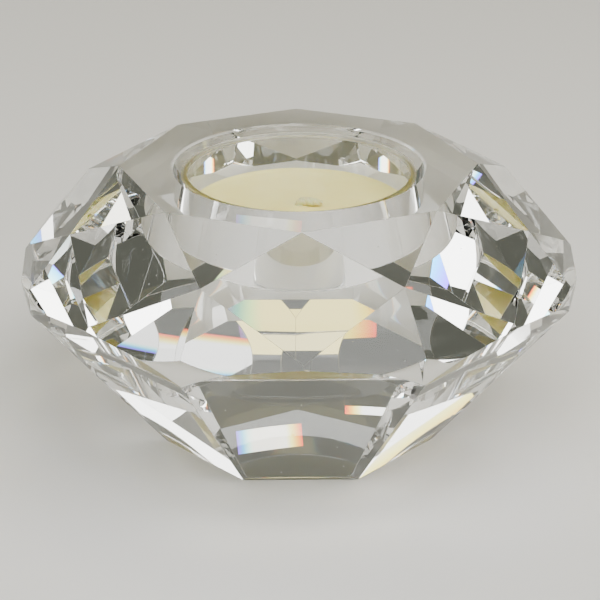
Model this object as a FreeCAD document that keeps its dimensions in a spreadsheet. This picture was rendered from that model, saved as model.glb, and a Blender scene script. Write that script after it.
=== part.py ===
"""Faceted crystal tealight holder with a clear-cup tealight in its recess.

The holder is one block of clear crystal cut like a brilliant: a flat octagonal table, a crown of
eight star facets, eight kite facets and sixteen upper girdle facets, a round girdle, and a
pavilion of eight flat mains down to an octagonal base. A round recess in the table takes the
tealight, which is a clear moulded cup, a block of wax, a pressed metal sustainer and a wick.

Millimetres, +Z up. The origin is the centre of the base, on the surface that the holder stands on.
"""
import FreeCAD, Part
import math
import os

import Sketcher
from FreeCAD import Placement, Rotation, Vector

DIMENSIONS = {
    # crystal block
    "girdle_diameter": 90.0,
    "block_height": 45.0,
    "table_flats": 52.8,
    "base_flats": 44.0,
    # facet tiers: angles from the horizontal
    "star_angle": 26.5,
    "kite_angle": 41.5,
    "upper_girdle_angle": 49.9,
    "upper_girdle_swing": 8.5,
    "main_angle": 54.0,
    "girdle_drop": 13.85,
    "cut_margin": 1.5,
    # recess
    "recess_diameter": 40.0,
    "recess_depth": 16.6,
    "rim_chamfer": 0.3,
    "floor_radius": 0.6,
    # tealight cup
    "cup_height": 15.7,
    "cup_base_diameter": 35.4,
    "cup_neck_diameter": 36.6,
    "cup_wall": 0.5,
    "flange_diameter": 37.5,
    "flange_thickness": 0.6,
    # wax
    "wax_drop": 7.3,
    "wax_clearance": 0.05,
    # sustainer
    "sustainer_diameter": 15.0,
    "sustainer_thickness": 0.3,
    "neck_diameter": 2.6,
    "neck_height": 3.0,
    # wick
    "wick_diameter": 1.5,
    "wick_rise": 0.15,
    "wick_bend_radius": 0.9,
    "wick_bend_angle": 95.0,
    "wick_tip_length": 2.8,
}

FACETS_PER_TIER = 8
HALF_STEP = "22.5 deg"
TOP = "Dimensions.block_height"
RECESS_FLOOR = "(Dimensions.block_height - Dimensions.recess_depth)"
CUP_FLOOR_TOP = "(" + RECESS_FLOOR + " + Dimensions.cup_wall)"
CUP_TOP = "(" + RECESS_FLOOR + " + Dimensions.cup_height)"
WAX_TOP = "(Dimensions.block_height - Dimensions.wax_drop)"
CUP_SLOPE = ("((Dimensions.cup_neck_diameter - Dimensions.cup_base_diameter) / 2"
             " / Dimensions.cup_height)")
CUP_INNER_BASE = "(Dimensions.cup_base_diameter / 2 - Dimensions.cup_wall)"
WAX_CLEAR_RADIUS = "(" + CUP_INNER_BASE + " - Dimensions.wax_clearance)"


def make_sheet(doc):
    """Put the driving dimensions in a spreadsheet, one named cell each."""
    sheet = doc.addObject("Spreadsheet::Sheet", "Dimensions")
    for row, (name, value) in enumerate(DIMENSIONS.items(), start=1):
        sheet.set("A%d" % row, name)
        sheet.set("B%d" % row, str(value))
        sheet.setAlias("B%d" % row, name)
    doc.recompute()
    return sheet


def make_body(doc, name):
    """Add an empty body whose label is the name of its part."""
    body = doc.addObject("PartDesign::Body", name)
    body.Label = name
    return body


def origin_feature(body, role):
    """Return the body's own origin plane or axis of the given role."""
    return next(item for item in body.Origin.OriginFeatures if item.Role == role)


def add_sketch(body, name, role, turn=None, height=None):
    """Attach a sketch to an origin plane, turned about +Z or raised along +Z if asked."""
    sketch = body.newObject("Sketcher::SketchObject", name)
    sketch.AttachmentSupport = [(origin_feature(body, role), "")]
    sketch.MapMode = "FlatFace"
    if turn is not None:
        sketch.AttachmentOffset = Placement(Vector(0, 0, 0), Rotation(Vector(0, 1, 0), 1))
        sketch.setExpression("AttachmentOffset.Rotation.Angle", turn)
    if height is not None:
        sketch.setExpression("AttachmentOffset.Base.z", height)
    return sketch


def bind(sketch, constraint, name, expression):
    """Add a dimension to a sketch and bind it to an expression of the sheet."""
    index = sketch.addConstraint(constraint)
    sketch.renameConstraint(index, name)
    sketch.setExpression("Constraints." + name, expression)


def draw_outline(sketch, corners):
    """Draw a closed outline of straight lines through (x, y) corners given as expressions."""
    count = len(corners)
    start = [Vector(20 + 5 * math.cos(2 * math.pi * i / count),
                    20 + 5 * math.sin(2 * math.pi * i / count), 0) for i in range(count)]
    for i in range(count):
        sketch.addGeometry(Part.LineSegment(start[i], start[(i + 1) % count]), False)
    for i in range(count):
        sketch.addConstraint(Sketcher.Constraint("Coincident", i, 2, (i + 1) % count, 1))
    for i, (x, y) in enumerate(corners):
        for kind, axis, expression, value in (("X", -2, x, start[i].x), ("Y", -1, y, start[i].y)):
            if expression == "0":
                sketch.addConstraint(Sketcher.Constraint("PointOnObject", i, 1, axis))
            else:
                bind(sketch, Sketcher.Constraint("Distance" + kind, -1, 1, i, 1, value),
                     "corner%d%s" % (i, kind), expression)


def revolve(body, name, corners):
    """Turn an outline in the XZ plane about the Z axis."""
    sketch = add_sketch(body, name + "_outline", "XZ_Plane")
    draw_outline(sketch, corners)
    turned = body.newObject("PartDesign::Revolution", name)
    turned.Profile = sketch
    turned.ReferenceAxis = (sketch, ["V_Axis"])
    turned.Angle = 360
    body.Tip = turned
    return turned


def cut_tier(body, name, start_radius, angle, rises_from_base=False, swing="0 deg"):
    """Cut one flat facet all across the block, then repeat it round the Z axis.

    The waste is a right triangle in the XZ plane, turned by swing about +Z. Its corner nearest
    the axis is at start_radius, on the top of the block or on its base, and its long side
    leaves the horizontal there at the facet's angle.
    """
    sketch = add_sketch(body, name + "_profile", "XZ_Plane", turn=swing)
    outer = "(Dimensions.girdle_diameter / 2 + Dimensions.cut_margin)"
    reach = "(" + outer + " - " + start_radius + ") * tan(" + angle + " * 1 deg)"
    level = "0" if rises_from_base else TOP
    far_end = reach if rises_from_base else TOP + " - " + reach
    draw_outline(sketch, [(start_radius, level), (outer, level), (outer, far_end)])

    cut = body.newObject("PartDesign::Pocket", name)
    cut.Profile = sketch
    cut.Type = "ThroughAll"
    cut.SideType = "Symmetric"

    ring = body.newObject("PartDesign::PolarPattern", name + "_tier")
    ring.Originals = [cut]
    ring.Axis = (origin_feature(body, "Z_Axis"), [""])
    ring.Angle = 360
    ring.Occurrences = FACETS_PER_TIER
    body.Tip = ring
    return ring


def circle_sketch(body, name, radius, height):
    """Sketch one circle about the Z axis, raised to a height."""
    sketch = add_sketch(body, name, "XY_Plane", height=height)
    sketch.addGeometry(Part.Circle(Vector(0, 0, 0), Vector(0, 0, 1), 10), False)
    sketch.addConstraint(Sketcher.Constraint("Coincident", 0, 3, -1, 1))
    bind(sketch, Sketcher.Constraint("Radius", 0, 10), "radius", radius)
    return sketch


def round_edge(shape, radius, height):
    """Name the circular edge of a shape at a radius and a height."""
    for number, edge in enumerate(shape.Edges, start=1):
        curve = edge.Curve
        if not isinstance(curve, Part.Circle):
            continue
        if abs(curve.Radius - radius) < 1e-4 and abs(curve.Center.z - height) < 1e-4:
            return "Edge%d" % number
    raise RuntimeError("no round edge of radius %g at height %g" % (radius, height))


def make_crystal(doc, size):
    """Cut the crystal block: a round disc, five facet tiers, then the recess."""
    body = make_body(doc, "crystal_body")
    disc = body.newObject("PartDesign::Pad", "disc")
    disc.Profile = circle_sketch(body, "disc_outline", "Dimensions.girdle_diameter / 2", "0 mm")
    disc.setExpression("Length", TOP)

    table_apothem = "Dimensions.table_flats / 2"
    upper_normal = ("Dimensions.girdle_diameter / 2"
                    " * cos(" + HALF_STEP + " - Dimensions.upper_girdle_swing * 1 deg)")
    upper_start = ("(" + upper_normal + " - Dimensions.girdle_drop"
                   " / tan(Dimensions.upper_girdle_angle * 1 deg))")
    kite_start = "(" + table_apothem + " / cos(" + HALF_STEP + "))"
    upper_swing = "Dimensions.upper_girdle_swing * 1 deg"

    cut_tier(body, "star", table_apothem, "Dimensions.star_angle", swing=HALF_STEP)
    cut_tier(body, "kite", kite_start, "Dimensions.kite_angle")
    for name, swing in (("upper_left", upper_swing), ("upper_right", "-" + upper_swing)):
        cut_tier(body, name, upper_start, "Dimensions.upper_girdle_angle", swing=swing)
    cut_tier(body, "main", "Dimensions.base_flats / 2", "Dimensions.main_angle",
             rises_from_base=True)

    recess = body.newObject("PartDesign::Pocket", "recess")
    recess.Profile = circle_sketch(body, "recess_outline", "Dimensions.recess_diameter / 2", TOP)
    recess.setExpression("Length", "Dimensions.recess_depth")
    body.Tip = recess
    doc.recompute()

    rim = body.newObject("PartDesign::Chamfer", "rim_chamfer")
    rim.Base = (recess, [round_edge(recess.Shape, size("recess_diameter") / 2,
                                    size("block_height"))])
    rim.setExpression("Size", "Dimensions.rim_chamfer")
    body.Tip = rim
    doc.recompute()

    floor = body.newObject("PartDesign::Fillet", "floor_fillet")
    floor.Base = (rim, [round_edge(rim.Shape, size("recess_diameter") / 2,
                                   size("block_height") - size("recess_depth"))])
    floor.setExpression("Radius", "Dimensions.floor_radius")
    body.Tip = floor
    return body


def make_cup(doc):
    """Turn the clear cup: a thin tapered wall on a flat floor, with a flange round its mouth."""
    body = make_body(doc, "tealight_cup")
    wall = "Dimensions.cup_wall"
    flange_under = "(" + CUP_TOP + " - Dimensions.flange_thickness)"
    neck = "(Dimensions.cup_neck_diameter / 2)"
    revolve(body, "cup_wall", [
        ("0", RECESS_FLOOR),
        ("Dimensions.cup_base_diameter / 2", RECESS_FLOOR),
        (neck, flange_under),
        ("Dimensions.flange_diameter / 2", flange_under),
        ("Dimensions.flange_diameter / 2", CUP_TOP),
        (neck + " - " + wall, CUP_TOP),
        (CUP_INNER_BASE, CUP_FLOOR_TOP),
        ("0", CUP_FLOOR_TOP),
    ])
    return body


def make_wax(doc):
    """Turn the wax block, hollowed below for the sustainer and bored for the wick."""
    body = make_body(doc, "tealight_wax")
    gap = "Dimensions.wax_clearance"
    plate_radius = "(Dimensions.sustainer_diameter / 2 + " + gap + ")"
    plate_top = "(" + CUP_FLOOR_TOP + " + Dimensions.sustainer_thickness + " + gap + ")"
    neck_radius = "(Dimensions.neck_diameter / 2 + " + gap + ")"
    neck_top = "(" + CUP_FLOOR_TOP + " + Dimensions.neck_height + " + gap + ")"
    wick_radius = "(Dimensions.wick_diameter / 2 + " + gap + ")"
    top_radius = (WAX_CLEAR_RADIUS + " + " + CUP_SLOPE + " * (" + WAX_TOP + " - "
                  + CUP_FLOOR_TOP + ")")
    revolve(body, "wax_block", [
        (plate_radius, CUP_FLOOR_TOP),
        (WAX_CLEAR_RADIUS, CUP_FLOOR_TOP),
        (top_radius, WAX_TOP),
        (wick_radius, WAX_TOP),
        (wick_radius, neck_top),
        (neck_radius, neck_top),
        (neck_radius, plate_top),
        (plate_radius, plate_top),
    ])
    return body


def make_sustainer(doc):
    """Turn the pressed metal plate that stands on the cup's floor and grips the wick."""
    body = make_body(doc, "wick_sustainer")
    bore = "(Dimensions.wick_diameter / 2)"
    plate_top = "(" + CUP_FLOOR_TOP + " + Dimensions.sustainer_thickness)"
    neck_top = "(" + CUP_FLOOR_TOP + " + Dimensions.neck_height)"
    revolve(body, "plate_and_neck", [
        (bore, CUP_FLOOR_TOP),
        ("Dimensions.sustainer_diameter / 2", CUP_FLOOR_TOP),
        ("Dimensions.sustainer_diameter / 2", plate_top),
        ("Dimensions.neck_diameter / 2", plate_top),
        ("Dimensions.neck_diameter / 2", neck_top),
        (bore, neck_top),
    ])
    return body


def make_wick(doc):
    """Sweep the wick up from the sustainer, then over towards +X to lie just above the wax."""
    body = make_body(doc, "wick")
    path = add_sketch(body, "wick_path", "XZ_Plane")
    path.addGeometry(Part.LineSegment(Vector(0, 29, 0), Vector(0, 38, 0)), False)
    path.addGeometry(Part.ArcOfCircle(Part.Circle(Vector(0.9, 38, 0), Vector(0, 0, 1), 0.9),
                                      math.radians(60), math.radians(180)), False)
    path.addGeometry(Part.LineSegment(Vector(1.35, 38.8, 0), Vector(2.4, 38.2, 0)), False)
    path.addConstraint(Sketcher.Constraint("PointOnObject", 0, 1, -2))
    path.addConstraint(Sketcher.Constraint("Vertical", 0))
    path.addConstraint(Sketcher.Constraint("Tangent", 0, 2, 1, 2))
    path.addConstraint(Sketcher.Constraint("Tangent", 1, 1, 2, 1))
    bind(path, Sketcher.Constraint("DistanceY", -1, 1, 0, 1, 29), "foot", CUP_FLOOR_TOP)
    bind(path, Sketcher.Constraint("DistanceY", -1, 1, 0, 2, 38), "knee",
         WAX_TOP + " + Dimensions.wick_rise")
    bind(path, Sketcher.Constraint("Radius", 1, 0.9), "bend", "Dimensions.wick_bend_radius")
    bind(path, Sketcher.Constraint("Angle", 0, 1, 2, 1, math.radians(-120)), "lean",
         "-Dimensions.wick_bend_angle * 1 deg")
    bind(path, Sketcher.Constraint("Distance", 2, 1.2), "tip", "Dimensions.wick_tip_length")
    profile = circle_sketch(body, "wick_section", "Dimensions.wick_diameter / 2", CUP_FLOOR_TOP)
    strand = body.newObject("PartDesign::AdditivePipe", "strand")
    strand.Profile = profile
    strand.Spine = path
    body.Tip = strand
    return body


def check_document(doc, bodies):
    """Stop if any object failed or any part is not one sound solid."""
    for item in doc.Objects:
        if "Invalid" in item.State or "Error" in item.State:
            raise RuntimeError("%s failed: %s" % (item.Name, item.State))
    for body in bodies:
        shape = body.Shape
        if shape.isNull() or not shape.isValid() or len(shape.Solids) != 1:
            raise RuntimeError(body.Label + " is not one valid solid")
        box = shape.BoundBox
        print("%s: %.1f mm3, %d faces, %.2f x %.2f mm, z %.2f to %.2f" % (
            body.Label, shape.Volume, len(shape.Faces), box.XLength, box.YLength,
            box.ZMin, box.ZMax))


def main():
    """Build the document, check it and write one STEP file for each part."""
    doc = FreeCAD.newDocument("tealight_holder")
    sheet = make_sheet(doc)
    bodies = [
        make_crystal(doc, lambda name: float(getattr(sheet, name))),
        make_cup(doc),
        make_wax(doc),
        make_sustainer(doc),
        make_wick(doc),
    ]
    doc.recompute()
    check_document(doc, bodies)
    os.makedirs("parts", exist_ok=True)
    for body in bodies:
        body.Shape.exportStep(os.path.join("parts", body.Label + ".step"))


main()
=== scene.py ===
"""A cut crystal tealight holder on a pale studio floor. Metres, in the CAD model's frame.

The block's facets are read back from the CAD node, so the visual block is the same cut with fine
round surfaces and worn edges. The cup, the wax and the wick are turned or swept inside the space
that their CAD nodes hold, and the wick's sustainer is its CAD node.
"""

import math

import bmesh
import bpy
from mathutils import Matrix, Vector, noise


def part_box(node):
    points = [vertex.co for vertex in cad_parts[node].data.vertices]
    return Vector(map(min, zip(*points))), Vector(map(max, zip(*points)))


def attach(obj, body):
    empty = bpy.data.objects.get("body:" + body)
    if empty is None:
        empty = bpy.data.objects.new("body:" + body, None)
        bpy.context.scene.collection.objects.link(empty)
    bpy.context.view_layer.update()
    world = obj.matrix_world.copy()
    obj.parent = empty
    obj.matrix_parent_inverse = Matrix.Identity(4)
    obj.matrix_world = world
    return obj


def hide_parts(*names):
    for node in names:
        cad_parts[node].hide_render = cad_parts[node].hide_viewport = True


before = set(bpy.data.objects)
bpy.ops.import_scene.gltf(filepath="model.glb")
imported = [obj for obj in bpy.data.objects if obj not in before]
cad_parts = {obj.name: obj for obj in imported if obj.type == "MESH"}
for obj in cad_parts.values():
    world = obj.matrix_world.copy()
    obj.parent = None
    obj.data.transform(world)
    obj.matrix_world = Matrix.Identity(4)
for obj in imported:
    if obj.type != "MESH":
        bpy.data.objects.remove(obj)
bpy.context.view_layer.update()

MM = 0.001
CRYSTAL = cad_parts["crystal_body"]
BLOCK_LOW, BLOCK_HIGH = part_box("crystal_body")
CUP_LOW, CUP_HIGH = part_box("tealight_cup")
WAX_LOW, WAX_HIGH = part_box("tealight_wax")
WICK_LOW, WICK_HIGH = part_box("wick")

HIDDEN_GAP = 0.04 * MM      # keeps clear surfaces that rest on each other from coinciding
WETTING = 0.02 * MM         # how far the wax reaches into the cup, so no air shows between them
EDGE_WEAR = 0.2 * MM        # how far the worn edges reach into the facets
CUP_WALL = 0.5 * MM
CUP_FLANGE = 0.6 * MM       # the flange's thickness
CUP_CORNER = 0.3 * MM       # the bevelled corner between the cup's floor and its wall
CUP_FLOOR = CUP_LOW.z + CUP_WALL - WETTING      # the height of the floor inside the cup

# Small chips in the block's edges: azimuth in degrees, then radius, height and size in mm.
CHIPS = (
    (-89.2, 44.4, 30.9, 0.8), (-47, 44.3, 30.9, 0.5), (-131, 44.7, 31.2, 0.4),
    (-72, 44.9, 31.3, 0.45), (-108, 44.9, 31.3, 0.3), (92, 20.2, 45.0, 0.5),
    (-101, 20.2, 45.0, 0.35), (-20, 20.2, 45.0, 0.3), (-88, 28.5, 45.0, 0.35),
    (-62, 26.5, 45.0, 0.4), (-140, 27.9, 45.0, 0.5), (118, 26.5, 45.0, 0.4),
    (-67.5, 23.8, 0.0, 0.4), (-112, 23.7, 0.0, 0.3), (35, 44.9, 31.3, 0.5),
)

# Crystal splits light at the edges of what it shows, so the softboxes' side edges carry the
# colours: depth in from the edge in metres, then the colour at the cool and at the warm side.
FRINGE = (
    (0.002, (0.25, 0.12, 1.0), (1.0, 0.1, 0.05)),
    (0.022, (0.1, 0.55, 1.0), (1.0, 0.5, 0.08)),
    (0.044, (0.6, 1.0, 1.0), (1.0, 0.95, 0.35)),
    (0.066, (1.0, 1.0, 1.0), (1.0, 1.0, 1.0)),
)
FULL_FRINGE_WIDTH = 0.26    # a softbox narrower than this has narrower fringes, in proportion
WARMTH_GREEN = 0.035        # what a warmth of 1 takes from a softbox's green
WARMTH_BLUE = 0.18          # what it takes from its blue
LIGHT_AIM = Vector((0, 0, 0.02))

CAMERA_AIM = Vector((0.0002, 0, 0.02125))
CAMERA_DISTANCE = 0.2728
CAMERA_AZIMUTH = -90.9
CAMERA_ELEVATION = 24.7
SENSOR_WIDTH = 36           # mm, as the lens is
LENS = 99


# ---------------------------------------------------------------- mesh helpers

def object_from(bm, name):
    """Make a scene object of a bmesh."""
    mesh = bpy.data.meshes.new(name)
    bm.normal_update()
    bm.to_mesh(mesh)
    bm.free()
    obj = bpy.data.objects.new(name, mesh)
    bpy.context.scene.collection.objects.link(obj)
    return obj


def smooth_object_from(bm, name):
    """Make a scene object of a closed bmesh, shaded smooth all over."""
    bmesh.ops.recalc_face_normals(bm, faces=bm.faces)
    for face in bm.faces:
        face.smooth = True
    return object_from(bm, name)


def applied(obj):
    """Replace an object's mesh with the result of its modifiers."""
    graph = bpy.context.evaluated_depsgraph_get()
    mesh = bpy.data.meshes.new_from_object(obj.evaluated_get(graph), depsgraph=graph)
    obj.modifiers.clear()
    obj.data = mesh


def cut_away(block, cutter):
    """Subtract a cutter from the block, and delete the cutter."""
    cut = block.modifiers.new("cut", "BOOLEAN")
    cut.operation = "DIFFERENCE"
    cut.solver = "EXACT"
    cut.object = cutter
    applied(block)
    bpy.data.objects.remove(cutter)


def rounded(corners):
    """Round an outline whose corners are (radius, height, rounding); a rounding of 0 is sharp."""
    arc_steps = 6
    points = [Vector(corner[:2]) for corner in corners]
    result = []
    for i, here in enumerate(points):
        rounding = corners[i][2]
        if rounding == 0:
            result.append(tuple(here))
            continue
        back = (points[i - 1] - here).normalized()
        ahead = (points[(i + 1) % len(points)] - here).normalized()
        half = back.angle(ahead) / 2
        centre = here + (back + ahead).normalized() * (rounding / math.sin(half))
        first = here + back * (rounding / math.tan(half)) - centre
        last = here + ahead * (rounding / math.tan(half)) - centre
        for k in range(arc_steps + 1):
            spoke = first.lerp(last, k / arc_steps).normalized()
            result.append(tuple(centre + spoke * rounding))
    return result


def lathe(name, outline, steps):
    """Turn a closed outline of (radius, height) points about the Z axis."""
    bm = bmesh.new()
    rings = []
    for radius, height in outline:
        on_axis = radius < 1e-9
        turns = [0.0] if on_axis else [2 * math.pi * i / steps for i in range(steps)]
        rings.append([bm.verts.new((radius * math.cos(a), radius * math.sin(a), height))
                      for a in turns])
    for lower, upper in zip(rings, rings[1:] + rings[:1]):
        if len(lower) == 1 and len(upper) == 1:
            continue
        for i in range(steps):
            j = (i + 1) % steps
            corners = [lower[i % len(lower)], lower[j % len(lower)],
                       upper[j % len(upper)], upper[i % len(upper)]]
            bm.faces.new(list(dict.fromkeys(corners)))
    return smooth_object_from(bm, name)


def heading_at(points, i):
    """The direction of a path at its point i."""
    return (points[min(i + 1, len(points) - 1)] - points[max(i - 1, 0)]).normalized()


def finer(points, step):
    """Walk a path in even steps."""
    result = [points[0]]
    for a, b in zip(points, points[1:]):
        count = max(1, round((b - a).length / step))
        result += [a.lerp(b, k / count) for k in range(1, count + 1)]
    return result


def sweep(bm, points, radius_at, sides):
    """Sweep a round section along points, closed at both ends.

    radius_at gives the radius for a part of the way, from 0 to 1.
    """
    rings = []
    side = Vector((0, 1, 0))
    for i, point in enumerate(points):
        ahead = heading_at(points, i)
        side = (side - ahead * side.dot(ahead)).normalized()
        across = ahead.cross(side)
        radius = radius_at(i / (len(points) - 1))
        turns = (2 * math.pi * k / sides for k in range(sides))
        rings.append([bm.verts.new(point + (side * math.cos(a) + across * math.sin(a)) * radius)
                      for a in turns])
    for lower, upper in zip(rings, rings[1:]):
        for k in range(sides):
            bm.faces.new((lower[k], lower[(k + 1) % sides], upper[(k + 1) % sides], upper[k]))
    bm.faces.new(rings[0][::-1])
    bm.faces.new(rings[-1])


# ---------------------------------------------------------------- crystal block

def facet_planes():
    """Read the slanted flat facets of the CAD block as (outward normal, offset) planes.

    A facet is several faces of the CAD mesh, so faces of one plane are grouped and averaged by
    area. The table, the base and the recess's floor are too level to count, the girdle and the
    recess's wall too steep, and the faces of the recess's fillet and chamfer too small.
    """
    offset_scale = 50 * MM      # near the block's size, so that offsets round as normals do
    least_area = 20 * MM ** 2
    groups = {}
    for face in CRYSTAL.data.polygons:
        normal = face.normal
        offset = normal.dot(face.center)
        plane = tuple(round(v, 3) for v in (*normal, offset / offset_scale))
        total = groups.setdefault(plane, [Vector(), 0.0, 0.0])
        total[0] += normal * face.area
        total[1] += offset * face.area
        total[2] += face.area
    return [(normal.normalized(), moment / area) for normal, moment, area in groups.values()
            if area > least_area and 0.2 < abs(normal.normalized().z) < 0.999]


def faceted_disc():
    """Cut a fine round disc with the CAD block's own facet planes."""
    radius = max(v.co.xy.length for v in CRYSTAL.data.vertices)
    height = BLOCK_HIGH.z - BLOCK_LOW.z
    bm = bmesh.new()
    bmesh.ops.create_cone(bm, cap_ends=True, segments=720, radius1=radius, radius2=radius,
                          depth=height, matrix=Matrix.Translation((0, 0, height / 2)))
    for normal, offset in facet_planes():
        geometry = bm.verts[:] + bm.edges[:] + bm.faces[:]
        bmesh.ops.bisect_plane(bm, geom=geometry, dist=1e-8, plane_co=normal * offset,
                               plane_no=normal, clear_outer=True)
        bmesh.ops.holes_fill(bm, edges=[e for e in bm.edges if e.is_boundary], sides=0)
    bmesh.ops.recalc_face_normals(bm, faces=bm.faces)
    return object_from(bm, "cut_crystal")


def recess_radii():
    """Read the recess's radius at its wall and at its chamfered rim from the CAD block."""
    above_corner = CUP_LOW.z + 2 * MM
    clear_of_facets = CUP_HIGH.x * 1.2
    radii = [v.co.xy.length for v in CRYSTAL.data.vertices
             if v.co.z > above_corner and v.co.xy.length < clear_of_facets]
    return min(radii), max(radii)


def cut_recess(block, wall, rim):
    """Cut the round recess, with a small corner at its floor and a chamfer at its rim."""
    floor = CUP_LOW.z
    top = BLOCK_HIGH.z
    corner = 0.6 * MM
    chamfer = rim - wall
    outline = rounded([(0, floor, 0), (wall, floor, corner), (wall, top - chamfer, 0),
                       (rim, top, 0), (rim + MM, top + MM, 0), (0, top + MM, 0)])
    cut_away(block, lathe("recess_cutter", outline, steps=256))


def wear_edges(block):
    """Bevel the edges between facets; the bevels have their own material for the time being."""
    for name in ("facets", "edges"):
        block.data.materials.append(bpy.data.materials.new(name))
    bevel = block.modifiers.new("worn_edges", "BEVEL")
    bevel.width = EDGE_WEAR
    bevel.segments = 2
    bevel.limit_method = "ANGLE"
    bevel.angle_limit = math.radians(6)
    bevel.material = 1
    applied(block)


def chip_edges(block):
    """Bite a few small chips out of the block's edges with rough balls."""
    stand_off = 0.8             # from the edge to a ball's centre, in radii of the ball
    grain, depth = 1.7, 0.3     # how fine and how deep a ball's roughness is
    middle = Vector((0, 0, BLOCK_HIGH.z / 2))
    bm = bmesh.new()
    for number, (azimuth, radius, height, size) in enumerate(CHIPS):
        turn = math.radians(azimuth)
        edge = Vector((radius * math.cos(turn), radius * math.sin(turn), height)) * MM
        outward = (edge - middle).normalized()
        centre = edge + outward * size * stand_off * MM
        ball = bmesh.ops.create_icosphere(bm, subdivisions=2, radius=size * MM,
                                          matrix=Matrix.Translation(centre))
        own_noise = Vector((number * 7.0, 0, 0))
        for vertex in ball["verts"]:
            rough = noise.noise(vertex.co / (size * MM) * grain + own_noise)
            vertex.co = centre + (vertex.co - centre) * (1 + depth * rough)
    cut_away(block, object_from(bm, "chip_cutter"))


def mark_worn_and_shaded_edges(block):
    """Keep where the worn edges are as an attribute of the mesh, for its material's wear and its
    painted dark shade on the edges.
    """
    wear = block.data.attributes.new("edge_wear_and_shade", "FLOAT", "FACE")
    for face in block.data.polygons:
        wear.data[face.index].value = float(face.material_index == 1)
        face.material_index = 0


def smooth_round_faces(block, wall):
    """Shade the recess's side and the girdle as round surfaces, and all else flat."""
    for face in block.data.polygons:
        in_recess = face.center.xy.length < wall + 0.01 * MM
        level = face.normal.z >= 0.9
        upright = abs(face.normal.z) < 0.05
        face.use_smooth = upright or (in_recess and not level)


def crystal_block():
    """Make the cut block, with its recess, its worn edges and its chips."""
    block = faceted_disc()
    wall, rim = recess_radii()
    cut_recess(block, wall, rim)
    wear_edges(block)
    chip_edges(block)
    mark_worn_and_shaded_edges(block)
    smooth_round_faces(block, wall)
    return block


# ---------------------------------------------------------------- tealight

def cup_radii():
    """Read the radii of the cup's base and of its neck, under the flange, from its CAD node."""
    near = 0.01 * MM
    vertices = [v.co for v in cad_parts["tealight_cup"].data.vertices]
    base = max(co.xy.length for co in vertices if co.z < CUP_LOW.z + near)
    neck = min(co.xy.length for co in vertices if abs(co.z - (CUP_HIGH.z - CUP_FLANGE)) < near)
    return base, neck


def clear_cup():
    """Turn the moulded cup: a foot ring, a thin tapered wall and a rolled flange."""
    base, neck = cup_radii()
    flange = CUP_HIGH.x
    top = CUP_HIGH.z
    low = CUP_LOW.z + HIDDEN_GAP
    inside_ring = low + 0.3 * MM
    outline = rounded([
        (0, inside_ring, 0),
        (base - 3.2 * MM, inside_ring, 0.3 * MM),
        (base - 2.6 * MM, low, 0.15 * MM),
        (base - 0.9 * MM, low, 0.6 * MM),
        (base + 0.04 * MM, low + 1.1 * MM, 0.6 * MM),
        (neck, top - CUP_FLANGE, 0.15 * MM),
        (flange, top - CUP_FLANGE, 0.27 * MM),
        (flange, top, 0.27 * MM),
        (neck - CUP_WALL, top, 0.22 * MM),
        (base - CUP_WALL, CUP_FLOOR + CUP_CORNER, 0),
        (base - CUP_WALL - CUP_CORNER, CUP_FLOOR, 0),
        (0, CUP_FLOOR, 0),
    ])
    return lathe("clear_cup", outline, steps=256)


def wax_block():
    """Turn the wax, with a low meniscus where it climbed the cup, and disturb its surface."""
    base, neck = cup_radii()
    level = WAX_HIGH.z
    bottom = CUP_FLOOR - WETTING
    at_plate = WAX_LOW.z + HIDDEN_GAP   # inside the plate's thickness, so its underside shows
    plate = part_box("wick_sustainer")[1].x + 0.1 * MM
    foot = base - CUP_WALL + WETTING
    corner = CUP_CORNER + WETTING / 2
    slope = (neck - base) / (CUP_HIGH.z - CUP_FLOOR - CUP_CORNER)
    edge = foot + slope * (level - CUP_FLOOR - CUP_CORNER)
    climb = 0.35 * MM           # the meniscus's height
    reach = 1.4 * MM            # how far in from its lip it comes down to the level
    lip = edge - 0.08 * MM
    meniscus_steps, level_steps = 8, 24

    outline = [(0, at_plate), (plate, at_plate), (plate + HIDDEN_GAP, bottom),
               (foot - corner, bottom), (foot, bottom + corner),
               (edge, level + climb), (lip, level + climb)]
    for k in range(1, meniscus_steps + 1):
        part = k / meniscus_steps
        outline.append((lip - reach * part, level + climb * (1 - part) ** 3))
    for k in range(1, level_steps):
        outline.append(((lip - reach) * (1 - k / level_steps), level))
    outline.append((0, level))
    wax = lathe("cream_wax", outline, steps=160)
    disturb_surface(wax, level)
    return wax


def disturb_surface(wax, level):
    """Ripple the wax's surface, and raise it a little where it climbed the wick."""
    ripples_per_metre = 180
    ripple_height = 0.05 * MM
    hump_height = 0.5 * MM
    hump_radius = 2.4 * MM
    sunk = 0.03 * MM
    for vertex in wax.data.vertices:
        co = vertex.co
        if co.z > level - 0.01 * MM:
            ripple = noise.fractal(co * ripples_per_metre, 1.0, 2.0, 3) * ripple_height
            hump = hump_height * math.exp(-(co.xy.length / hump_radius) ** 2)
            co.z += ripple + hump - sunk


def wick_path():
    """The wick's centre line: up out of the wax, then over towards +X to lie just above it."""
    radius = -WICK_LOW.x
    crown = WICK_HIGH.z - radius
    bend = 0.9 * MM
    turned = math.radians(95)
    arc_steps, run_steps = 16, 8
    points = [Vector((0, 0, WAX_LOW.z + MM)), Vector((0, 0, WAX_HIGH.z - MM))]
    for k in range(arc_steps + 1):
        angle = math.pi - turned * k / arc_steps
        points.append(Vector((bend + bend * math.cos(angle), 0,
                              crown - bend + bend * math.sin(angle))))
    heading = Vector((math.sin(turned), 0, math.cos(turned)))
    last = points[-1]
    reach = (WICK_HIGH.x + radius * math.cos(turned) - last.x) / heading.x
    points += [last + heading * (reach * k / run_steps) for k in range(1, run_steps + 1)]
    return points


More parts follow.
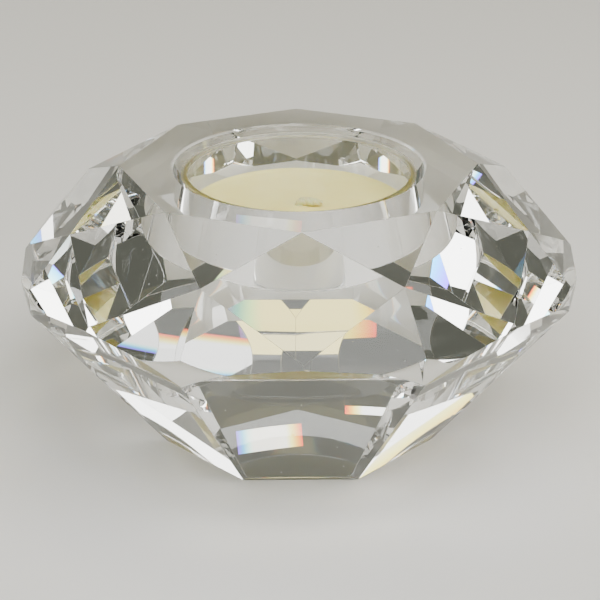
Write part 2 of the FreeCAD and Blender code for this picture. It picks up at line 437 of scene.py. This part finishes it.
def cotton_wick():
    """Twist three waxed strands round the wick's centre line."""
    strands = 3
    pitch = 3.2 * MM
    offset = 0.22 * MM
    strand_radius = 0.51 * MM

    def tapered(part):
        """A strand's radius, which shrinks over its last seventh."""
        return strand_radius * min(1, 6 * (1.02 - part)) ** 0.5

    path = finer(wick_path(), 0.12 * MM)
    side = Vector((0, 1, 0))
    bm = bmesh.new()
    for number in range(strands):
        points = []
        travelled = 0.0
        for i, point in enumerate(path):
            across = heading_at(path, i).cross(side)
            travelled += (point - path[i - 1]).length if i else 0
            turn = 2 * math.pi * (travelled / pitch + number / strands)
            points.append(point + (side * math.cos(turn) + across * math.sin(turn)) * offset)
        sweep(bm, points, tapered, sides=12)
    return smooth_object_from(bm, "cotton_wick")


# ---------------------------------------------------------------- materials

class Nodes:
    """A short way to write a material's node tree."""

    def __init__(self, name):
        self.material = bpy.data.materials.new(name)
        self.material.use_nodes = True
        self.tree = self.material.node_tree
        self.shader = self.tree.nodes["Principled BSDF"]

    def give(self, socket, value):
        """Link an input to another node's output, or set it to a plain value."""
        if isinstance(value, bpy.types.NodeSocket):
            self.tree.links.new(value, socket)
        else:
            socket.default_value = value

    def add(self, kind, **inputs):
        """Add a node, setting its properties and inputs by name, an input's spaces as _."""
        node = self.tree.nodes.new(kind)
        for name, value in inputs.items():
            socket = node.inputs.get(name.replace("_", " "))
            if socket is None:
                setattr(node, name, value)
            else:
                self.give(socket, value)
        return node

    def set(self, **inputs):
        """Set or link the shader's inputs by name, spaces as _."""
        for name, value in inputs.items():
            self.give(self.shader.inputs[name.replace("_", " ")], value)

    def coords(self):
        """Object coordinates, in metres."""
        return self.add("ShaderNodeTexCoord").outputs["Object"]

    def noise(self, scale, detail=4.0, vector=None):
        """A noise value from 0 to 1; scale is in repeats for each metre."""
        node = self.add("ShaderNodeTexNoise", Vector=vector or self.coords(), Scale=scale,
                        Detail=detail)
        return node.outputs["Fac"]

    def remap(self, value, low, high, to_low, to_high):
        """Map a value from one range to another, clamped."""
        node = self.add("ShaderNodeMapRange", Value=value, From_Min=low, From_Max=high,
                        To_Min=to_low, To_Max=to_high)
        return node.outputs["Result"]

    def combine(self, operation, first, second):
        """Multiply two values, or take the greater: MULTIPLY or MAXIMUM."""
        node = self.add("ShaderNodeMath", operation=operation)
        self.give(node.inputs[0], first)
        self.give(node.inputs[1], second)
        return node.outputs["Value"]

    def mix(self, factor, first, second):
        """Mix two colours. The node has sockets for each type of data, so these go by index."""
        node = self.add("ShaderNodeMix", data_type="RGBA")
        for index, value in ((0, factor), (6, first), (7, second)):
            self.give(node.inputs[index], value)
        return node.outputs[2]

    def bump(self, height, distance, strength):
        """Send a height to the shader's normal; distance is in metres."""
        node = self.add("ShaderNodeBump", Height=height, Distance=distance, Strength=strength)
        self.tree.links.new(node.outputs["Normal"], self.shader.inputs["Normal"])


def crystal_material():
    """Clear polished crystal: worn edges with painted dark shade, faint polishing waves,
    hairlines and specks of wear.
    """
    n = Nodes("clear_crystal")
    place = n.coords()

    cells = n.add("ShaderNodeTexVoronoi", Vector=place, Scale=420.0)
    specks = n.remap(cells.outputs["Distance"], 0.035, 0.06, 1.0, 0.0)
    patches = n.remap(n.noise(240, detail=1, vector=place), 0.5, 0.6, 0.0, 1.0)
    specks = n.combine("MULTIPLY", specks, patches)

    waves = n.add("ShaderNodeTexWave", Vector=place, Scale=30.0, Distortion=16.0, Detail=3.0,
                  Detail_Scale=0.6)
    hairlines = n.remap(waves.outputs["Fac"], 0.9998, 0.99998, 0.0, 1.0)
    stretches = n.remap(n.noise(110, detail=1, vector=place), 0.54, 0.64, 0.0, 0.2)
    hairlines = n.combine("MULTIPLY", hairlines, stretches)

    edges = n.add("ShaderNodeAttribute", attribute_name="edge_wear_and_shade").outputs["Fac"]
    unevenness = n.remap(n.noise(700, detail=2, vector=place), 0.3, 0.7, 0.5, 1.0)
    edges = n.combine("MULTIPLY", edges, unevenness)

    wear = n.combine("MAXIMUM", n.combine("MAXIMUM", specks, hairlines), edges)
    # The worn edges are roughened, and also painted dark grey: painted shade for the dark lines
    # that the edges show.
    colour_with_painted_edge_shade = n.mix(edges, (0.985, 0.988, 0.968, 1), (0.3, 0.31, 0.31, 1))
    n.set(Base_Color=colour_with_painted_edge_shade, Roughness=n.remap(wear, 0, 1, 0.0, 0.6), IOR=1.52,
          Transmission_Weight=1.0)
    n.bump(n.noise(45, detail=1, vector=place), 0.01 * MM, 0.3)
    return n.material


def cup_material():
    """Clear moulded plastic, with a satin flange."""
    n = Nodes("clear_plastic")
    height = n.add("ShaderNodeSeparateXYZ", Vector=n.coords()).outputs["Z"]
    satin = n.remap(height, CUP_HIGH.z - 1.1 * CUP_FLANGE, CUP_HIGH.z - CUP_FLANGE, 0.0, 0.3)
    polish = n.remap(n.noise(80), 0.3, 0.8, 0.0, 0.02)
    n.set(Base_Color=(0.985, 0.99, 0.985, 1), Roughness=n.combine("MAXIMUM", satin, polish),
          IOR=1.58, Transmission_Weight=1.0)
    return n.material


def wax_material():
    """Cream candle wax: soft light inside it, faint mottling and a satin surface."""
    n = Nodes("cream_wax")
    cream = n.mix(n.remap(n.noise(160, detail=5), 0.35, 0.7, 0, 1),
                  (0.97, 0.88, 0.42, 1), (0.94, 0.84, 0.37, 1))
    n.set(Base_Color=cream, Roughness=n.remap(n.noise(400), 0.3, 0.7, 0.32, 0.5), IOR=1.44,
          Subsurface_Weight=0.35, Subsurface_Scale=2 * MM, Subsurface_Radius=(1.0, 0.8, 0.45))
    n.bump(n.noise(700, detail=5), 0.03 * MM, 0.4)
    return n.material


def wick_material():
    """Twisted cotton soaked in wax."""
    n = Nodes("waxed_cotton")
    fibre = n.add("ShaderNodeTexWave", Vector=n.coords(), Scale=1400.0, Distortion=4.0)
    colour = n.mix(fibre.outputs["Fac"], (0.88, 0.82, 0.5, 1), (0.72, 0.62, 0.32, 1))
    n.set(Base_Color=colour, Roughness=0.42, Subsurface_Weight=0.4, Subsurface_Scale=1 * MM)
    n.bump(fibre.outputs["Fac"], 0.05 * MM, 0.6)
    return n.material


def metal_material():
    """Tin-plated pressed steel."""
    n = Nodes("tin_plate")
    grain = n.noise(900, detail=6)
    n.set(Base_Color=n.mix(grain, (0.62, 0.62, 0.6, 1), (0.5, 0.5, 0.48, 1)), Metallic=1.0,
          Roughness=n.remap(grain, 0.3, 0.7, 0.25, 0.45))
    return n.material


def floor_material():
    """A plain pale matt floor."""
    n = Nodes("pale_floor")
    n.set(Base_Color=n.mix(n.noise(6, detail=3), (0.80, 0.79, 0.77, 1), (0.78, 0.77, 0.75, 1)),
          Roughness=0.75)
    return n.material


# ---------------------------------------------------------------- the object

def dress(piece, material, body, node):
    """Give a piece its material and its body, and hide the CAD node that it stands for."""
    piece.data.materials.clear()
    piece.data.materials.append(material)
    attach(piece, body)
    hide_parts(node)


dress(crystal_block(), crystal_material(), "holder", "crystal_body")
dress(clear_cup(), cup_material(), "tealight", "tealight_cup")
dress(wax_block(), wax_material(), "tealight", "tealight_wax")
dress(cotton_wick(), wick_material(), "tealight", "wick")
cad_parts["wick_sustainer"].material_slots[0].material = metal_material()


# ---------------------------------------------------------------- stage, light and camera

def direction(azimuth, elevation):
    """The unit vector at an azimuth from +X and an elevation, in degrees."""
    turn, lift = math.radians(azimuth), math.radians(elevation)
    return Vector((math.cos(turn) * math.cos(lift), math.sin(turn) * math.cos(lift),
                   math.sin(lift)))


def studio_floor():
    """Lay the floor just under the block. It isn't part of the object."""
    half_side = 3.0
    bm = bmesh.new()
    bmesh.ops.create_grid(bm, x_segments=1, y_segments=1, size=half_side)
    floor = object_from(bm, "studio_floor")
    floor.location = (0, 0, -0.15 * MM)
    floor.data.materials.append(floor_material())


def add_fringes(tree, width):
    """Colour a softbox's light across its width: cool at one side edge, warm at the other."""
    position = tree.nodes.new("ShaderNodeNewGeometry")
    across = tree.nodes.new("ShaderNodeSeparateXYZ")
    ramp = tree.nodes.new("ShaderNodeValToRGB")
    tree.links.new(position.outputs["Parametric"], across.inputs["Vector"])
    tree.links.new(across.outputs["X"], ramp.inputs["Fac"])
    tree.links.new(ramp.outputs["Color"], tree.nodes["Emission"].inputs["Color"])
    elements = ramp.color_ramp.elements
    for depth, cool, warm in FRINGE:
        share = depth / max(width, FULL_FRINGE_WIDTH)
        elements.new(share).color = (*cool, 1)
        elements.new(1 - share).color = (*warm, 1)
    elements.remove(elements[0])
    elements.remove(elements[-1])


def softbox(name, azimuth, elevation, distance, size, radiance, warmth=0.0, roll=0.0):
    """Add a softbox of (width, height) metres, aimed at the block; angles are in degrees."""
    width, height = size
    lamp = bpy.data.lights.new(name, "AREA")
    lamp.shape = "RECTANGLE"
    lamp.size, lamp.size_y = width, height
    lamp.energy = radiance * math.pi * width * height
    lamp.color = (1, 1 - WARMTH_GREEN * warmth, 1 - WARMTH_BLUE * warmth)
    lamp.use_nodes = True
    add_fringes(lamp.node_tree, width)
    away = direction(azimuth, elevation)
    aimed = away.to_track_quat("Z", "Y").to_matrix() @ Matrix.Rotation(math.radians(roll), 3, "Z")
    obj = bpy.data.objects.new(name, lamp)
    obj.location = LIGHT_AIM + away * distance
    obj.rotation_euler = aimed.to_euler()
    bpy.context.scene.collection.objects.link(obj)


def dim_world(colour):
    """Light the scene a little from all round."""
    world = bpy.data.worlds.new("studio")
    bpy.context.scene.world = world
    world.use_nodes = True
    world.node_tree.nodes["Background"].inputs["Color"].default_value = colour


def photo_camera():
    """Set the camera at the photograph's viewing angle."""
    data = bpy.data.cameras.new("camera")
    data.sensor_width = SENSOR_WIDTH
    data.lens = LENS
    data.clip_start = 0.01
    camera = bpy.data.objects.new("camera", data)
    camera.location = CAMERA_AIM + CAMERA_DISTANCE * direction(CAMERA_AZIMUTH, CAMERA_ELEVATION)
    camera.rotation_euler = (CAMERA_AIM - camera.location).to_track_quat("-Z", "Y").to_euler()
    bpy.context.scene.collection.objects.link(camera)
    bpy.context.scene.camera = camera


def set_light_paths():
    """Let light through many clear surfaces, one behind another."""
    cycles = bpy.context.scene.cycles
    cycles.max_bounces = 64
    cycles.transmission_bounces = 64
    cycles.glossy_bounces = 16
    cycles.transparent_max_bounces = 16
    cycles.use_denoising = True
    cycles.caustics_reflective = True
    cycles.caustics_refractive = True
    cycles.blur_glossy = 0.2


def set_view():
    """Set how the picture shows the light."""
    view = bpy.context.scene.view_settings
    view.view_transform = "AgX"
    view.look = "AgX - Medium High Contrast"
    view.exposure = 0.65


studio_floor()
softbox("front_high", -75, 57, 0.9, (1.3, 0.56), 2.7)
softbox("overhead_back", 90, 70.2, 1.06, (0.42, 0.25), 0.85, warmth=3.8)
softbox("overhead_side", 17, 68, 1.05, (0.34, 0.42), 0.9)
softbox("back_high", 90, 46, 1.0, (0.5, 0.3), 0.85, warmth=3.0)
softbox("back_slit", 90.6, 24.1, 1.0, (0.05, 0.016), 1.3, warmth=0.6, roll=174)
softbox("back_slot", 85.2, 25.3, 1.0, (0.056, 0.006), 1.6)
softbox("low_right", -46, 11, 1.0, (0.14, 0.2), 2.2)
softbox("low_left", -134, 11, 1.0, (0.14, 0.2), 2.2, warmth=0.5)
softbox("right_window", 2, 24, 0.9, (0.34, 0.28), 2.2)
softbox("left_window", 141, 25, 0.9, (0.34, 0.26), 2.2)
softbox("front_left", -151, 47, 0.9, (0.13, 0.34), 2.0, warmth=0.5)
dim_world((0.08, 0.082, 0.07, 1))
photo_camera()
set_light_paths()
set_view()
